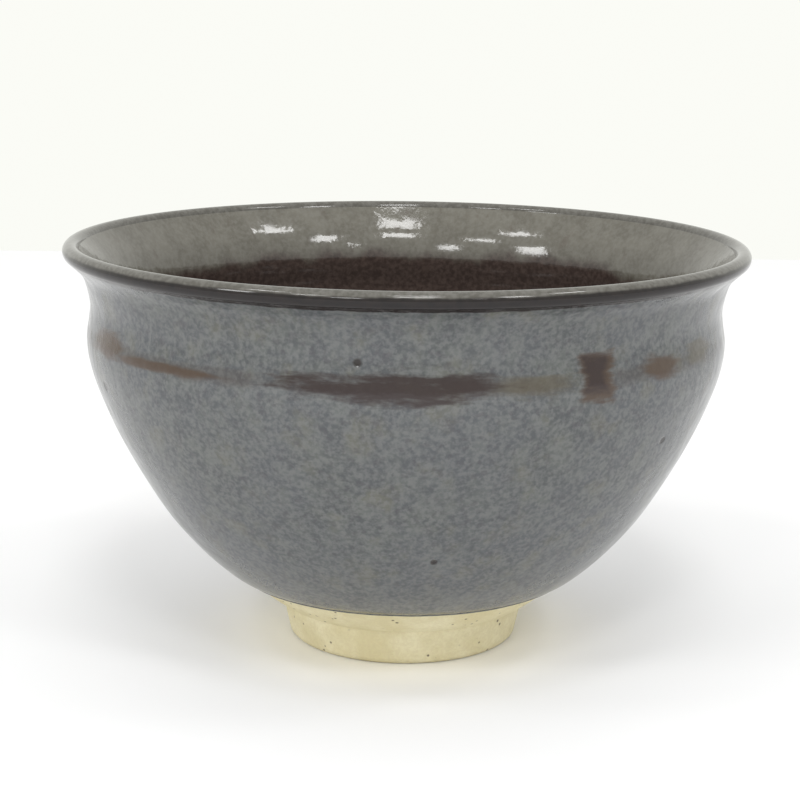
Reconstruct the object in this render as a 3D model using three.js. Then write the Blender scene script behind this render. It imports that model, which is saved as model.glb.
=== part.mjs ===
// A tenmoku tea bowl: a thrown stoneware bowl with a pinched neck and flared lip, standing on a
// small turned foot ring. A dark iron glaze coats the inside, the lip and the outside down to a
// glaze line above the foot; below that line the buff clay is bare.
// Millimetres, +Z up. The origin is the centre of the foot ring's resting face.

import * as THREE from "three";

// Overall form, on the finished glazed surface
const HEIGHT = 72; // foot to crown of the lip
const SHOULDER_RADIUS = 56.3; // the ridge below the neck
const LIP_FLARE = 3.8; // how far the lip stands out past the shoulder
const LIP_ROUND = 1.45; // radius of the lip's rounded edge
const NECK_PINCH = 0.8; // how far the neck is drawn in from the shoulder
const NECK_HEIGHT = 61.2;
const SHOULDER_HEIGHT = 55.2;
const BELLY_RADIUS = 47.45;
const BELLY_HEIGHT = 31.9;
const LOWER_BELLY_RADIUS = 37.9;
const LOWER_BELLY_HEIGHT = 18.5;
const GLAZE_LINE_RADIUS = 29.2; // where the outer glaze stops
const GLAZE_LINE_HEIGHT = 10.7;

// Walls
const NECK_WALL = 3.7; // clay and both glaze coats together
const BELLY_WALL = 4.5;
const FLOOR_TOP = 11.6; // inside surface at the centre of the well
const WELL_RADIUS = 15; // the small flat pool for the tea
const WELL_RISE = 0.9;

// Glaze coats
const OUTER_GLAZE = 0.6;
const INNER_GLAZE = 0.5;
const LIP_GLAZE = 0.3; // the glaze runs thin over the lip
const GLAZE_ROLL = 0.25; // how far the lower edge of the glaze swells past the coat

// Foot
const FOOT_HEIGHT = 6.6; // ring below the turned ledge
const FOOT_TOP_RADIUS = 21.9;
const FOOT_BOTTOM_RADIUS = 20.6;
const FOOT_RING_WIDTH = 5.2;
const FOOT_CHAMFER = 0.7;
const RECESS_DEPTH = 5.6;
const RECESS_RADIUS = 15.0;
const TURNING_NIPPLE = 0.5; // low cone left by the turning tool at the recess's centre

// Fineness
const SEGMENTS = 56;
const WALL_STEPS = 14;
const LIP_STEPS = 6;

const lipRadius = SHOULDER_RADIUS + LIP_FLARE;
const neckRadius = SHOULDER_RADIUS - NECK_PINCH;
const lipCentre = new THREE.Vector2(lipRadius - LIP_ROUND, HEIGHT - LIP_ROUND);

// A point on the lip's round, at an angle in degrees from straight out, at a depth below the surface.
function lipPoint(degrees, depth) {
  const angle = THREE.MathUtils.degToRad(degrees);
  const reach = LIP_ROUND - depth;
  return new THREE.Vector2(
    lipCentre.x + reach * Math.cos(angle),
    lipCentre.y + reach * Math.sin(angle),
  );
}

const LIP_OUTER_EDGE = -55; // degrees, where the lip glaze meets the outer coat
const LIP_INNER_EDGE = 165; // degrees, where it meets the inner coat

// The finished outside from the glaze line up to the lip, and the finished inside from the well up.
const outsideCurve = new THREE.SplineCurve([
  new THREE.Vector2(GLAZE_LINE_RADIUS, GLAZE_LINE_HEIGHT),
  new THREE.Vector2(LOWER_BELLY_RADIUS, LOWER_BELLY_HEIGHT),
  new THREE.Vector2(BELLY_RADIUS, BELLY_HEIGHT),
  new THREE.Vector2(
    THREE.MathUtils.lerp(BELLY_RADIUS, SHOULDER_RADIUS, 0.78),
    THREE.MathUtils.lerp(BELLY_HEIGHT, SHOULDER_HEIGHT, 0.62),
  ),
  new THREE.Vector2(SHOULDER_RADIUS, SHOULDER_HEIGHT),
  new THREE.Vector2(neckRadius, NECK_HEIGHT),
  lipPoint(LIP_OUTER_EDGE, 0),
]);
const insideCurve = new THREE.SplineCurve([
  new THREE.Vector2(WELL_RADIUS, FLOOR_TOP + WELL_RISE),
  new THREE.Vector2(LOWER_BELLY_RADIUS - 1.9 * BELLY_WALL, LOWER_BELLY_HEIGHT + 0.35 * BELLY_WALL),
  new THREE.Vector2(BELLY_RADIUS - 0.83 * BELLY_WALL, BELLY_HEIGHT + 0.55 * BELLY_WALL),
  new THREE.Vector2(SHOULDER_RADIUS - NECK_WALL - 0.3, SHOULDER_HEIGHT),
  new THREE.Vector2(neckRadius - NECK_WALL, NECK_HEIGHT),
  lipPoint(LIP_INNER_EDGE, 0),
]);

// Points along a curve, moved square to it by a depth that may change along the way.
// side is -1 to sink an outside surface into the wall and 1 to sink an inside surface.
function sunk(curve, steps, side, depthAt) {
  const points = [];
  for (let i = 0; i <= steps; i += 1) {
    const t = i / steps;
    const along = curve.getTangent(t);
    const square = new THREE.Vector2(along.y, -along.x).multiplyScalar(side * depthAt(t));
    points.push(curve.getPoint(t).add(square));
  }
  return points;
}

function lipArc(fromDegrees, toDegrees, depth) {
  const points = [];
  for (let i = 0; i <= LIP_STEPS; i += 1) {
    points.push(lipPoint(THREE.MathUtils.lerp(fromDegrees, toDegrees, i / LIP_STEPS), depth));
  }
  return points;
}

// The clay under each coat. Both coats thin to the lip glaze where they meet it.
const clayOutside = sunk(outsideCurve, WALL_STEPS, -1, (t) =>
  THREE.MathUtils.lerp(OUTER_GLAZE, LIP_GLAZE, t ** 4),
);
clayOutside[WALL_STEPS] = lipPoint(LIP_OUTER_EDGE, LIP_GLAZE);
const clayInside = sunk(insideCurve, WALL_STEPS, 1, (t) =>
  THREE.MathUtils.lerp(INNER_GLAZE, LIP_GLAZE, t ** 4),
);
clayInside[WALL_STEPS] = lipPoint(LIP_INNER_EDGE, LIP_GLAZE);
const clayLip = lipArc(LIP_OUTER_EDGE, LIP_INNER_EDGE, LIP_GLAZE);
const clayWellCentre = new THREE.Vector2(0, FLOOR_TOP - INNER_GLAZE);

// The seat where the foot ring joins the underside, shared by both pieces.
const ledgeCorner = new THREE.Vector2(FOOT_TOP_RADIUS, FOOT_HEIGHT);
const seatCorner = new THREE.Vector2(RECESS_RADIUS, FOOT_HEIGHT);
const recessCorner = new THREE.Vector2(RECESS_RADIUS, RECESS_DEPTH);

// A closed outline of a ring or a solid on the axis, turned about +Z.
function turned(name, outline, material) {
  const closed = outline[0].x === 0 ? outline : [...outline, outline[0]];
  const mesh = new THREE.Mesh(new THREE.LatheGeometry(closed, SEGMENTS), material);
  mesh.name = name;
  mesh.rotation.x = Math.PI / 2;
  return mesh;
}

function ceramic(color, roughness) {
  return new THREE.MeshStandardMaterial({ color, roughness, metalness: 0 });
}

const bareClay = ceramic(0xd3caa4, 0.85);
const slateGlaze = ceramic(0x70757a, 0.3);
const ironGlaze = ceramic(0x3a302b, 0.2);
const umberGlaze = ceramic(0x4a3f3b, 0.2);

// Thrown wall, floor and the bare ledge turned around the foot.
function clayBody() {
  return turned(
    "clay_body",
    [
      new THREE.Vector2(0, RECESS_DEPTH - TURNING_NIPPLE),
      new THREE.Vector2(RECESS_RADIUS * 0.25, RECESS_DEPTH),
      recessCorner,
      seatCorner,
      ledgeCorner,
      ...clayOutside,
      ...clayLip.slice(1, -1),
      ...clayInside.toReversed(),
      clayWellCentre,
    ],
    bareClay,
  );
}

// Ring that the bowl stands on, chamfered where it meets the table.
function footRing() {
  const innerRadius = FOOT_BOTTOM_RADIUS - FOOT_RING_WIDTH;
  return turned(
    "foot_ring",
    [
      new THREE.Vector2(innerRadius + FOOT_CHAMFER, 0),
      new THREE.Vector2(FOOT_BOTTOM_RADIUS - FOOT_CHAMFER, 0),
      new THREE.Vector2(FOOT_BOTTOM_RADIUS, FOOT_CHAMFER),
      ledgeCorner,
      seatCorner,
      recessCorner,
      new THREE.Vector2(innerRadius, FOOT_CHAMFER),
    ],
    bareClay,
  );
}

// Outer coat, with a rolled lower edge where the glaze stopped running.
function outerGlaze() {
  const surface = sunk(outsideCurve, WALL_STEPS, -1, () => 0);
  const first = surface[0];
  const rolled = new THREE.Vector2(first.x + GLAZE_ROLL, first.y + GLAZE_ROLL);
  return turned(
    "outer_glaze",
    [rolled, ...surface.slice(1, WALL_STEPS), lipPoint(LIP_OUTER_EDGE, 0), ...clayOutside.toReversed()],
    slateGlaze,
  );
}

// Thin coat over the lip, where the iron shows dark.
function lipGlaze() {
  return turned(
    "lip_glaze",
    [...lipArc(LIP_OUTER_EDGE, LIP_INNER_EDGE, 0), ...clayLip.toReversed()],
    ironGlaze,
  );
}

// Inner coat, from the lip down the wall and across the well.
function innerGlaze() {
  const surface = sunk(insideCurve, WALL_STEPS, 1, () => 0);
  surface[WALL_STEPS] = lipPoint(LIP_INNER_EDGE, 0);
  return turned(
    "inner_glaze",
    [
      clayWellCentre,
      ...clayInside,
      ...surface.toReversed(),
      new THREE.Vector2(0, FLOOR_TOP),
    ],
    umberGlaze,
  );
}

const teaBowl = new THREE.Group();
teaBowl.add(clayBody(), footRing(), outerGlaze(), lipGlaze(), innerGlaze());

export default teaBowl;
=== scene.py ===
import math

import bmesh
import bpy
from mathutils import Matrix, Vector, noise


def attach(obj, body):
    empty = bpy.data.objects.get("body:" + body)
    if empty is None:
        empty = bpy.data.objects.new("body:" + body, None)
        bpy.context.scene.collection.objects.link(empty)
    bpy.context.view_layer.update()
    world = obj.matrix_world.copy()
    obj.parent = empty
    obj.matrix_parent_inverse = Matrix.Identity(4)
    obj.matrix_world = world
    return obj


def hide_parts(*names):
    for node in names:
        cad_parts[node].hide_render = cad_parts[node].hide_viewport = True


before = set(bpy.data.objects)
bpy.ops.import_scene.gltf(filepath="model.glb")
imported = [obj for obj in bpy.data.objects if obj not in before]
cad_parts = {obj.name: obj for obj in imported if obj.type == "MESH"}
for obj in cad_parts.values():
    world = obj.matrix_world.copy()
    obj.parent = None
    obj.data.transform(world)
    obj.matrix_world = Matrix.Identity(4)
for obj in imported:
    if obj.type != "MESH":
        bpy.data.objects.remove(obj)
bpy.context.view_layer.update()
scene = bpy.context.scene


# Clay body. The real one is thrown on a wheel in buff stoneware that holds a little sand, then turned
# when leather hard: the ledge round the foot is cut with a loop tool, which leaves fine rings and pits.
CURVE_STEPS = 7
TURNS = 224
HARD_CORNER = math.radians(38)


def smooth_line(points, steps):
    """Points along a soft curve through the given profile points."""
    padded = [points[0], *points, points[-1]]
    line = []
    for before, start, end, after in zip(padded, padded[1:], padded[2:], padded[3:]):
        for i in range(steps):
            t = i / steps
            line.append(
                tuple(
                    0.5
                    * (
                        2 * b
                        + (c - a) * t
                        + (2 * a - 5 * b + 4 * c - d) * t**2
                        + (3 * b - a - 3 * c + d) * t**3
                    )
                    for a, b, c, d in zip(before, start, end, after)
                )
            )
    return [*line, points[-1]]


def offset_line(line, depth, end_depth):
    """The same line, moved square to itself to its left, by a depth that changes near its end."""
    moved = []
    last = len(line) - 1
    for i, (r, z) in enumerate(line):
        before = line[max(i - 1, 0)]
        after = line[min(i + 1, last)]
        dr = after[0] - before[0]
        dz = after[1] - before[1]
        length = math.hypot(dr, dz)
        here = depth + (end_depth - depth) * (i / last) ** 4
        moved.append((r - dz / length * here, z + dr / length * here))
    return moved


def turned(name, outline, material, node):
    """A piece spun from a closed outline, with smooth faces and hard corners kept."""
    bm = bmesh.new()
    verts = [bm.verts.new((r / 1000, 0, z / 1000)) for r, z in outline]
    edges = [bm.edges.new(pair) for pair in zip(verts, verts[1:])]
    starts_on_axis = outline[0][0] < 0.001
    if not starts_on_axis:
        edges.append(bm.edges.new((verts[-1], verts[0])))
    bmesh.ops.spin(
        bm,
        geom=verts + edges,
        cent=(0, 0, 0),
        axis=(0, 0, 1),
        angle=2 * math.pi,
        steps=TURNS,
        use_merge=True,
    )
    bmesh.ops.remove_doubles(bm, verts=bm.verts, dist=1e-6)
    bmesh.ops.recalc_face_normals(bm, faces=bm.faces)
    mesh = bpy.data.meshes.new(name)
    bm.to_mesh(mesh)
    bm.free()
    mesh.materials.append(material)
    mesh.shade_smooth()
    mesh.set_sharp_from_angle(angle=HARD_CORNER)
    piece = bpy.data.objects.new(name, mesh)
    scene.collection.objects.link(piece)
    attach(piece, "root")
    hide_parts(node)
    return piece


def node_adder(tree):
    """A function that adds a node to this tree and fills or links its inputs."""

    def add(kind, inputs=(), **settings):
        made = tree.nodes.new(kind)
        for key, value in settings.items():
            setattr(made, key, value)
        for key, value in dict(inputs).items():
            if isinstance(value, bpy.types.NodeSocket):
                tree.links.new(value, made.inputs[key])
            else:
                made.inputs[key].default_value = value
        return made

    return add


def new_finish(name):
    """A new material, with its node adder, its linker, its surface shader and the object's own place."""
    material = bpy.data.materials.new(name)
    material.use_nodes = True
    tree = material.node_tree
    add = node_adder(tree)
    place = add("ShaderNodeTexCoord").outputs["Object"]
    return material, add, tree.links.new, tree.nodes["Principled BSDF"], place


def grain(add, place, size_mm, detail=3.0, stretch=None):
    """Noise whose blotches are about size_mm across."""
    if stretch:
        place = add("ShaderNodeMapping", {"Vector": place, "Scale": stretch}).outputs[0]
    made = add(
        "ShaderNodeTexNoise",
        {"Vector": place, "Scale": 1000 / size_mm, "Detail": detail, "Roughness": 0.6},
    )
    return made.outputs[0]


def fade(add, value, low, high):
    """0 below low, 1 above high, soft between."""
    made = add(
        "ShaderNodeMapRange",
        {"Value": value, "From Min": low, "From Max": high},
        interpolation_type="SMOOTHSTEP",
    )
    return made.outputs["Result"]


def blotches(add, place, size_mm, detail, low, high, stretch=None):
    """Grain pushed apart into blotches of 0 and 1 with soft edges."""
    return fade(add, grain(add, place, size_mm, detail, stretch), low, high)


def calc(add, operation, a, b):
    return add("ShaderNodeMath", {0: a, 1: b}, operation=operation).outputs[0]


def times(add, a, b):
    return calc(add, "MULTIPLY", a, b)


def plus(add, a, b):
    return calc(add, "ADD", a, b)


def minus(add, a, b):
    return calc(add, "SUBTRACT", a, b)


def tint(add, under, over, mask, strength=1):
    """The colour under, with the colour over it where the mask is. Colours are linear."""
    amount = mask if strength == 1 else times(add, mask, strength)
    colours = [c if isinstance(c, bpy.types.NodeSocket) else (*c, 1) for c in (under, over)]
    made = add("ShaderNodeMix", {0: amount}, data_type="RGBA")
    for socket, colour in zip((6, 7), colours):
        if isinstance(colour, bpy.types.NodeSocket):
            made.id_data.links.new(colour, made.inputs[socket])
        else:
            made.inputs[socket].default_value = colour
    return made.outputs[2]


def relief(add, link, shader, height, deep_mm, strength):
    """A surface relief as deep as deep_mm where the height changes by 1."""
    bump = add(
        "ShaderNodeBump", {"Height": height, "Distance": deep_mm / 1000, "Strength": strength}
    )
    link(bump.outputs[0], shader.inputs["Normal"])


PITS_PER_METRE = 520

clay, add, link, shader, place = new_finish("bare_clay")
broad = blotches(add, place, 9, 3, 0.35, 0.68)
rings = grain(add, place, 0.7, 2, (0.06, 0.06, 1))
sand = blotches(add, place, 0.55, 2, 0.38, 0.62)
pit_cells = add("ShaderNodeTexVoronoi", {"Vector": place, "Scale": PITS_PER_METRE})
pit_here = fade(add, pit_cells.outputs["Distance"], 0.19, 0.09)
pits = times(add, pit_here, blotches(add, place, 2.4, 1, 0.49, 0.54))
colour = tint(add, (0.69, 0.62, 0.38), (0.81, 0.75, 0.52), broad)
colour = tint(add, colour, (0.62, 0.53, 0.33), sand, 0.28)
colour = tint(add, colour, (0.16, 0.12, 0.08), pits)
link(colour, shader.inputs["Base Color"])
shader.inputs["Roughness"].default_value = 0.82
rough = minus(add, plus(add, times(add, rings, 0.6), times(add, sand, 0.3)), pits)
relief(add, link, shader, rough, 0.16, 0.75)

LIP_CENTRE = (58.6, 70.5)
LIP_ROUND = 1.45
LIP_OUTER_EDGE = -55
LIP_INNER_EDGE = 165
OUTER_COAT = 0.6
INNER_COAT = 0.5
LIP_COAT = 0.3
FLOOR_TOP = 11.6
RECESS_RADIUS = 15
RECESS_TOP = 5.6
FOOT_TOP = (21.9, 6.6)
FOOT_SEAT = (RECESS_RADIUS, FOOT_TOP[1])
RECESS_CORNER = (RECESS_RADIUS, RECESS_TOP)


def lip_arc(depth, steps):
    """The lip's round, sunk by a depth, from its outer edge to its inner one."""
    reach = LIP_ROUND - depth
    sweep = LIP_INNER_EDGE - LIP_OUTER_EDGE
    angles = [math.radians(LIP_OUTER_EDGE + sweep * i / steps) for i in range(steps + 1)]
    return [
        (LIP_CENTRE[0] + reach * math.cos(a), LIP_CENTRE[1] + reach * math.sin(a))
        for a in angles
    ]


clay_lip = lip_arc(LIP_COAT, 14)
glazed_lip = lip_arc(0, 28)
outside = smooth_line(
    [
        (30.0, 12.15),
        (33.0, 13.95),
        (37.85, 18.5),
        (42.9, 24.6),
        (47.36, 31.8),
        (51.19, 39.0),
        (54.22, 46.2),
        (55.75, 51.3),
        (56.2, 55.3),
        (55.75, 58.6),
        (55.5, 61.3),
        (56.0, 64.2),
        (57.0, 66.9),
        glazed_lip[0],
    ],
    CURVE_STEPS,
)
inside = smooth_line(
    [
        (0.01, FLOOR_TOP),
        (8, 11.85),
        (15, 12.7),
        (23, 15.9),
        (29.8, 20.5),
        (37.5, 27.4),
        (43.7, 34.6),
        (48.9, 43.2),
        (51.6, 51.0),
        (52.3, 55.4),
        (51.9, 59.4),
        (52.2, 62.4),
        (53.7, 66.2),
        glazed_lip[-1],
    ],
    CURVE_STEPS,
)
clay_outside = offset_line(outside, OUTER_COAT, LIP_COAT)
clay_inside = offset_line(inside, -INNER_COAT, -LIP_COAT)
clay_inside[0] = (0, FLOOR_TOP - INNER_COAT)
ledge = smooth_line([FOOT_TOP, (22.7, 6.85), (26.2, 9.35), clay_outside[0]], 6)
turned(
    "clay_body_fired",
    [
        (0, RECESS_TOP - 0.5),
        (3.75, RECESS_TOP),
        RECESS_CORNER,
        FOOT_SEAT,
        *ledge,
        *clay_outside[1:-1],
        *clay_lip,
        *clay_inside[-2::-1],
    ],
    clay,
    "clay_body",
)

# Foot ring. It is a narrow ring of the same clay, turned true with its lower edges softened so that it
# doesn't scratch a tray. It stays bare because glaze there would stick it to the kiln shelf.
foot_outer_side = smooth_line([(20.8, 1.6), (21.25, 3.6), (21.6, 5.4), FOOT_TOP], 4)
turned(
    "foot_ring_turned",
    [
        (16.3, 0.05),
        (16.8, 0),
        (19.5, 0),
        (20.15, 0.16),
        (20.55, 0.6),
        (20.72, 1.2),
        *foot_outer_side,
        FOOT_SEAT,
        RECESS_CORNER,
        (15.3, 1.1),
        (15.6, 0.4),
    ],
    clay,
    "foot_ring",
)

# Outer glaze. A thick iron glaze that was poured and ran down to a roll above the foot. It cooled to a
# glossy slate with fine mottling, and iron gathered in broken rust patches on the shoulder.
BAND_HEIGHT = 56.7
DARK_LIP_FROM = 68.75

slate, add, link, shader, place = new_finish("slate_glaze")
spot = add("ShaderNodeSeparateXYZ", {"Vector": place}).outputs
turn = calc(add, "ARCTAN2", spot[0], times(add, spot[1], -1))
turn = times(add, turn, 180 / math.pi)
level = times(add, spot[2], 1000)
fine = blotches(add, place, 0.8, 4, 0.36, 0.66)
medium = blotches(add, place, 3.2, 3, 0.36, 0.66)
broad = blotches(add, place, 17, 3, 0.35, 0.65)
olive = blotches(add, place, 6.5, 4, 0.52, 0.70)
dots = blotches(add, place, 1.3, 2, 0.54, 0.68)
ragged = minus(add, grain(add, place, 3.4, 5, (0.45, 0.45, 2.2)), 0.5)


def patch(angle, half_angle, height, half_height, roughen=1.9, soft=0.42, corners="ADD"):
    """A ragged blotch at an angle round the bowl from the front, in degrees, and a height in mm.
    ADD makes it an oval and MAXIMUM an oblong."""
    across = calc(add, "DIVIDE", minus(add, turn, angle), half_angle)
    up = calc(add, "DIVIDE", minus(add, level, height), half_height)
    squares = calc(add, corners, times(add, across, across), times(add, up, up))
    distance = plus(add, calc(add, "SQRT", squares, 0), times(add, ragged, roughen))
    return fade(add, distance, 1 + soft, 1 - soft)


def largest(masks):
    total = masks[0]
    for mask in masks[1:]:
        total = calc(add, "MAXIMUM", total, mask)
    return total


rust = largest([
    patch(-61, 6.5, 57.2, 2.3),
    patch(-46, 14, 56.4, 0.8),
    patch(31.8, 3.1, 56.9, 3.9, 1.7, 0.3, "MAXIMUM"),
    patch(46.5, 4.6, 57.3, 1.8),
    patch(120, 12, 56.6, 1.6),
    patch(-140, 16, 57.0, 1.4),
])
maroon = largest([
    patch(-3, 15.5, 56.7, 2.1, 2.6),
    patch(-11, 7, 56.4, 1.3),
    patch(9, 6, 57.0, 1.2),
    patch(31.4, 2.2, 57.6, 2.6, 2.0, 0.45, "MAXIMUM"),
    patch(168, 14, 56.8, 1.5),
    patch(85, 6, 57.2, 1.5),
])
haze = largest([
    patch(20, 7, 56.7, 1.6),
    patch(59, 5, 58, 1.6),
    patch(-96, 10, 56.6, 1.2),
])
pinholes = largest([
    patch(-7.6, 0.7, 60.5, 0.6, 0.6),
    patch(51.8, 0.8, 43.8, 0.6, 0.6),
    patch(6.3, 0.7, 25.9, 0.5, 0.6),
    patch(-64.6, 0.8, 49.6, 0.8, 0.6),
    patch(73, 1.0, 67.3, 1.6, 0.8),
    patch(150, 1.0, 40, 0.8, 0.5),
])
from_band = minus(add, level, plus(add, BAND_HEIGHT, times(add, ragged, 2.4)))
faint_band = fade(add, times(add, from_band, from_band), 3.2, 0.0)
faint_band = times(add, faint_band, blotches(add, place, 26, 2, 0.36, 0.60))
lip_edge = plus(add, level, times(add, ragged, 0.9))
dark_lip = fade(add, lip_edge, DARK_LIP_FROM, DARK_LIP_FROM + 0.2)
colour = tint(add, (0.066, 0.072, 0.074), (0.106, 0.114, 0.106), medium)
colour = tint(add, colour, (0.090, 0.096, 0.112), broad, 0.35)
colour = tint(add, colour, (0.128, 0.122, 0.088), olive, 0.5)
colour = tint(add, colour, (0.165, 0.168, 0.166), fine, 0.55)
colour = tint(add, colour, (0.062, 0.058, 0.066), dots, 0.45)
colour = tint(add, colour, (0.052, 0.040, 0.034), faint_band, 0.42)
colour = tint(add, colour, (0.082, 0.068, 0.042), haze, 0.65)
colour = tint(add, colour, (0.062, 0.036, 0.020), rust, 0.9)
colour = tint(add, colour, (0.024, 0.013, 0.012), maroon, 0.95)
colour = tint(add, colour, (0.014, 0.010, 0.009), dark_lip)
colour = tint(add, colour, (0.018, 0.014, 0.012), pinholes)
link(colour, shader.inputs["Base Color"])
link(plus(add, 0.13, times(add, medium, 0.07)), shader.inputs["Roughness"])
swell = minus(add, plus(add, times(add, medium, 0.35), times(add, broad, 1.4)), pinholes)
relief(add, link, shader, swell, 0.12, 0.6)

clay_edge_r, clay_edge_z = clay_outside[0]
glaze_edge_r, glaze_edge_z = outside[0]
outer_glaze = turned(
    "outer_glaze_fired",
    [
        (clay_edge_r + 0.12, clay_edge_z - 0.05),
        (glaze_edge_r + 0.12, glaze_edge_z - 0.02),
        (glaze_edge_r + 0.5, glaze_edge_z + 0.12),
        *outside[2:],
        *clay_outside[::-1],
    ],
    slate,
    "outer_glaze",
)

# The glaze stopped running a little higher or lower from place to place.
RUN_FADES_FROM = 11.0
RUN_FADES_OVER = 5.5
MOST_RUN = 0.00045
ALONG_LEDGE = (0.83, 0.55)
for vertex in outer_glaze.data.vertices:
    x, y, z = vertex.co * 1000
    near_edge = max(0.0, min(1.0, (RUN_FADES_FROM + RUN_FADES_OVER - z) / RUN_FADES_OVER))
    angle = math.atan2(x, -y)
    sine = math.sin(angle)
    cosine = math.cos(angle)
    run = noise.noise(Vector((sine * 2.2, cosine * 2.2, 3.7)))
    run += 0.35 * noise.noise(Vector((sine * 9, cosine * 9, 1.2)))
    slide = MOST_RUN * run * near_edge
    outward = Vector((sine, -cosine, 0))
    vertex.co += outward * slide * ALONG_LEDGE[0] + Vector((0, 0, slide * ALONG_LEDGE[1]))

# Lip glaze. The same glaze ran off the rounded edge when it was molten and left a thin coat, so the
# dark iron shows as a narrow band. The lip's face above it is painted a lighter greyish colour, a
# painted reflection of the bright room.
DARK_BELOW = 70.9
DARK_PAST_RADIUS = 0.0588

dark, add, link, shader, place = new_finish("iron_glaze")
spot = add("ShaderNodeSeparateXYZ", {"Vector": place}).outputs
flat = add("ShaderNodeCombineXYZ", {0: spot[0], 1: spot[1]}).outputs[0]
radius = add("ShaderNodeVectorMath", {0: flat}, operation="LENGTH").outputs["Value"]
outer_side = fade(add, radius, DARK_PAST_RADIUS, DARK_PAST_RADIUS + 0.0004)
wander = minus(add, grain(add, place, 6, 3), 0.5)
level = plus(add, times(add, spot[2], 1000), times(add, wander, 0.5))
below_edge = fade(add, level, DARK_BELOW + 0.45, DARK_BELOW)
fine = blotches(add, place, 0.9, 3, 0.35, 0.65)
iron = tint(add, (0.007, 0.005, 0.005), (0.014, 0.010, 0.009), fine)
# Painted reflection: the lip's upper face gets a lighter greyish colour that stands in for the bright
# room it reflects.
painted_reflection_grey = tint(add, (0.085, 0.080, 0.068), (0.130, 0.125, 0.110), fine)
colour = tint(add, painted_reflection_grey, iron, times(add, outer_side, below_edge))
link(colour, shader.inputs["Base Color"])
shader.inputs["Roughness"].default_value = 0.10
shader.inputs["Specular IOR Level"].default_value = 0.4
relief(add, link, shader, wander, 0.14, 0.35)
turned(
    "lip_glaze_fired",
    [*glazed_lip, *clay_lip[::-1]],
    dark,
    "lip_glaze",
)

# Inner glaze. Glaze was swilled round the inside and poured out. It is a deep maroon brown lower down
# where it is thick. Under the lip it is painted a lighter greyish brown, partly where it thinned and
# partly a painted reflection of the bright room.
THICK_BELOW = 60.6

umber, add, link, shader, place = new_finish("umber_glaze")
level = times(add, add("ShaderNodeSeparateXYZ", {"Vector": place}).outputs[2], 1000)
fine = blotches(add, place, 0.9, 4, 0.35, 0.67)
medium = blotches(add, place, 4.5, 3, 0.35, 0.66)
wander = minus(add, grain(add, place, 13, 4, (1, 1, 0.5)), 0.5)
# Painted reflection: above this height the coat is made lighter, partly for the thinner glaze and partly
# for the bright room it reflects.
thin_coat_and_reflection = fade(add, plus(add, level, times(add, wander, 11)), THICK_BELOW, THICK_BELOW + 3)
runs = blotches(add, place, 2.2, 3, 0.60, 0.72, (1, 1, 0.12))
upper = tint(add, (0.108, 0.100, 0.080), (0.142, 0.134, 0.110), medium)
upper = tint(add, upper, (0.205, 0.200, 0.175), fine, 0.35)
lower = tint(add, (0.040, 0.028, 0.024), (0.072, 0.052, 0.044), fine)
colour = tint(add, lower, upper, thin_coat_and_reflection)
colour = tint(add, colour, (0.075, 0.052, 0.040), runs, 0.3)
link(colour, shader.inputs["Base Color"])
shader.inputs["Roughness"].default_value = 0.10
relief(add, link, shader, plus(add, times(add, medium, 0.5), wander), 0.14, 0.3)
turned(
    "inner_glaze_fired",
    [*clay_inside, *inside[:0:-1], (0, FLOOR_TOP)],
    umber,
    "inner_glaze",
)

# Table and room. A plain white table ends a little way behind the bowl, and the surroundings are white.
# Rays that don't show the room to the camera or in a reflection see it softer.
TABLE_HALF_SIZE = 4
TABLE_BACK = 0.487
ROOM_SOFTNESS = 0.76

table_mesh = bpy.data.meshes.new("table_top")
table_bm = bmesh.new()
bmesh.ops.create_grid(table_bm, x_segments=1, y_segments=1, size=TABLE_HALF_SIZE)
for corner in table_bm.verts:
    corner.co.y = min(corner.co.y, TABLE_BACK)
table_bm.to_mesh(table_mesh)
table_bm.free()
table_top = bpy.data.objects.new("table_top", table_mesh)
scene.collection.objects.link(table_top)
table_paint = bpy.data.materials.new("table_paint")
table_paint.use_nodes = True
paint_shader = table_paint.node_tree.nodes["Principled BSDF"]
paint_shader.inputs["Base Color"].default_value = (0.93, 0.93, 0.93, 1)
paint_shader.inputs["Roughness"].default_value = 0.6
table_mesh.materials.append(table_paint)

world = bpy.data.worlds.new("studio")
scene.world = world
world.use_nodes = True
world.node_tree.nodes.clear()
add = node_adder(world.node_tree)
rays = add("ShaderNodeLightPath").outputs
reflected = calc(add, "MAXIMUM", rays["Is Glossy Ray"], rays["Is Transmission Ray"])
seen = calc(add, "MAXIMUM", rays["Is Camera Ray"], reflected)
soft = add("ShaderNodeBackground", {"Color": (1, 1, 1, 1), "Strength": ROOM_SOFTNESS})
white = add("ShaderNodeBackground", {"Color": (0.965, 0.97, 0.92, 1), "Strength": 1})
room = add("ShaderNodeMixShader", {0: seen, 1: soft.outputs[0], 2: white.outputs[0]})
add("ShaderNodeOutputWorld", {"Surface": room.outputs[0]})

# Lamps. Window panes high behind the camera make the broken highlights on the lip and inside, and a
# wide soft lamp hangs above.
LAMP_AIM = Vector((0, 0, 0.05))
PANE_DISTANCE = 1.4
PANE_WATTS_PER_AREA = 42


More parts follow.
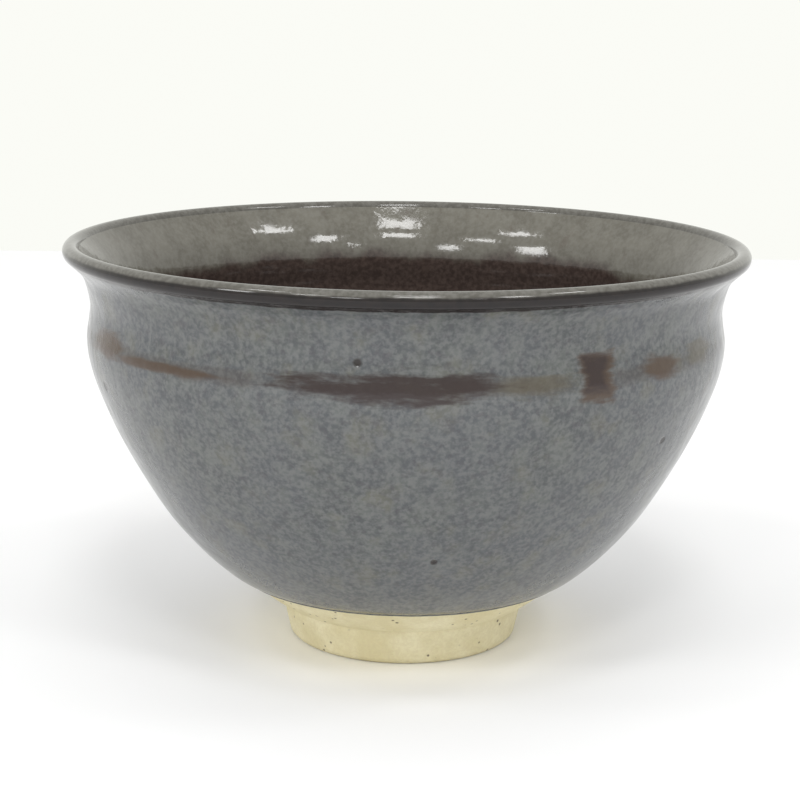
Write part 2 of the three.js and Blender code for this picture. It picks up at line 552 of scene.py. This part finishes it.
def hang_lamp(name, position, width, height, watts):
    lamp = bpy.data.lights.new(name, "AREA")
    lamp.shape = "RECTANGLE"
    lamp.size = width
    lamp.size_y = height
    lamp.energy = watts
    hung = bpy.data.objects.new(name, lamp)
    hung.location = position
    hung.rotation_mode = "QUATERNION"
    hung.rotation_quaternion = (LAMP_AIM - Vector(position)).to_track_quat("-Z", "Y")
    scene.collection.objects.link(hung)


# Each pane has its degrees round from the camera, its degrees up, its width and its height in metres.
panes = [
    (76, 55, 0.26, 0.13),
    (40, 43, 0.20, 0.26),
    (24, 32, 0.08, 0.06),
    (5, 68, 0.24, 0.16),
    (4, 50, 0.26, 0.22),
    (-19, 29, 0.18, 0.14),
    (-36, 43, 0.20, 0.14),
    (-63, 55, 0.24, 0.12),
    (-58, 29, 0.26, 0.22),
]
for number, (around, up, width, height) in enumerate(panes):
    around = math.radians(around)
    up = math.radians(up)
    away = Vector(
        (math.sin(around) * math.cos(up), -math.cos(around) * math.cos(up), math.sin(up))
    )
    watts = PANE_WATTS_PER_AREA * width * height
    hang_lamp(f"pane_{number}", away * PANE_DISTANCE, width, height, watts)
hang_lamp("top_softbox", (0, 0.25, 1.7), 1.6, 1.2, 1.5)

# Camera. It is close to the bowl and a little above it, and is turned by a fraction of a degree, as the
# photograph's was.
CAMERA_PITCH = math.radians(12.46)
CAMERA_ROLL = math.radians(0.68)
CAMERA_DISTANCE = 0.3388
CAMERA_AIM = Vector((-0.00089, 0, 0.0427))

camera_data = bpy.data.cameras.new("camera")
camera_data.lens = 84.7
camera_data.sensor_width = 36
camera_data.clip_start = 0.01
camera = bpy.data.objects.new("camera", camera_data)
scene.collection.objects.link(camera)
back = Vector((0, -math.cos(CAMERA_PITCH), math.sin(CAMERA_PITCH)))
stand = Matrix.Translation(CAMERA_AIM + back * CAMERA_DISTANCE)
tilt = Matrix.Rotation(math.radians(90) - CAMERA_PITCH, 4, "X")
camera.matrix_world = stand @ tilt @ Matrix.Rotation(CAMERA_ROLL, 4, "Z")
scene.camera = camera
scene.view_settings.view_transform = "Standard"
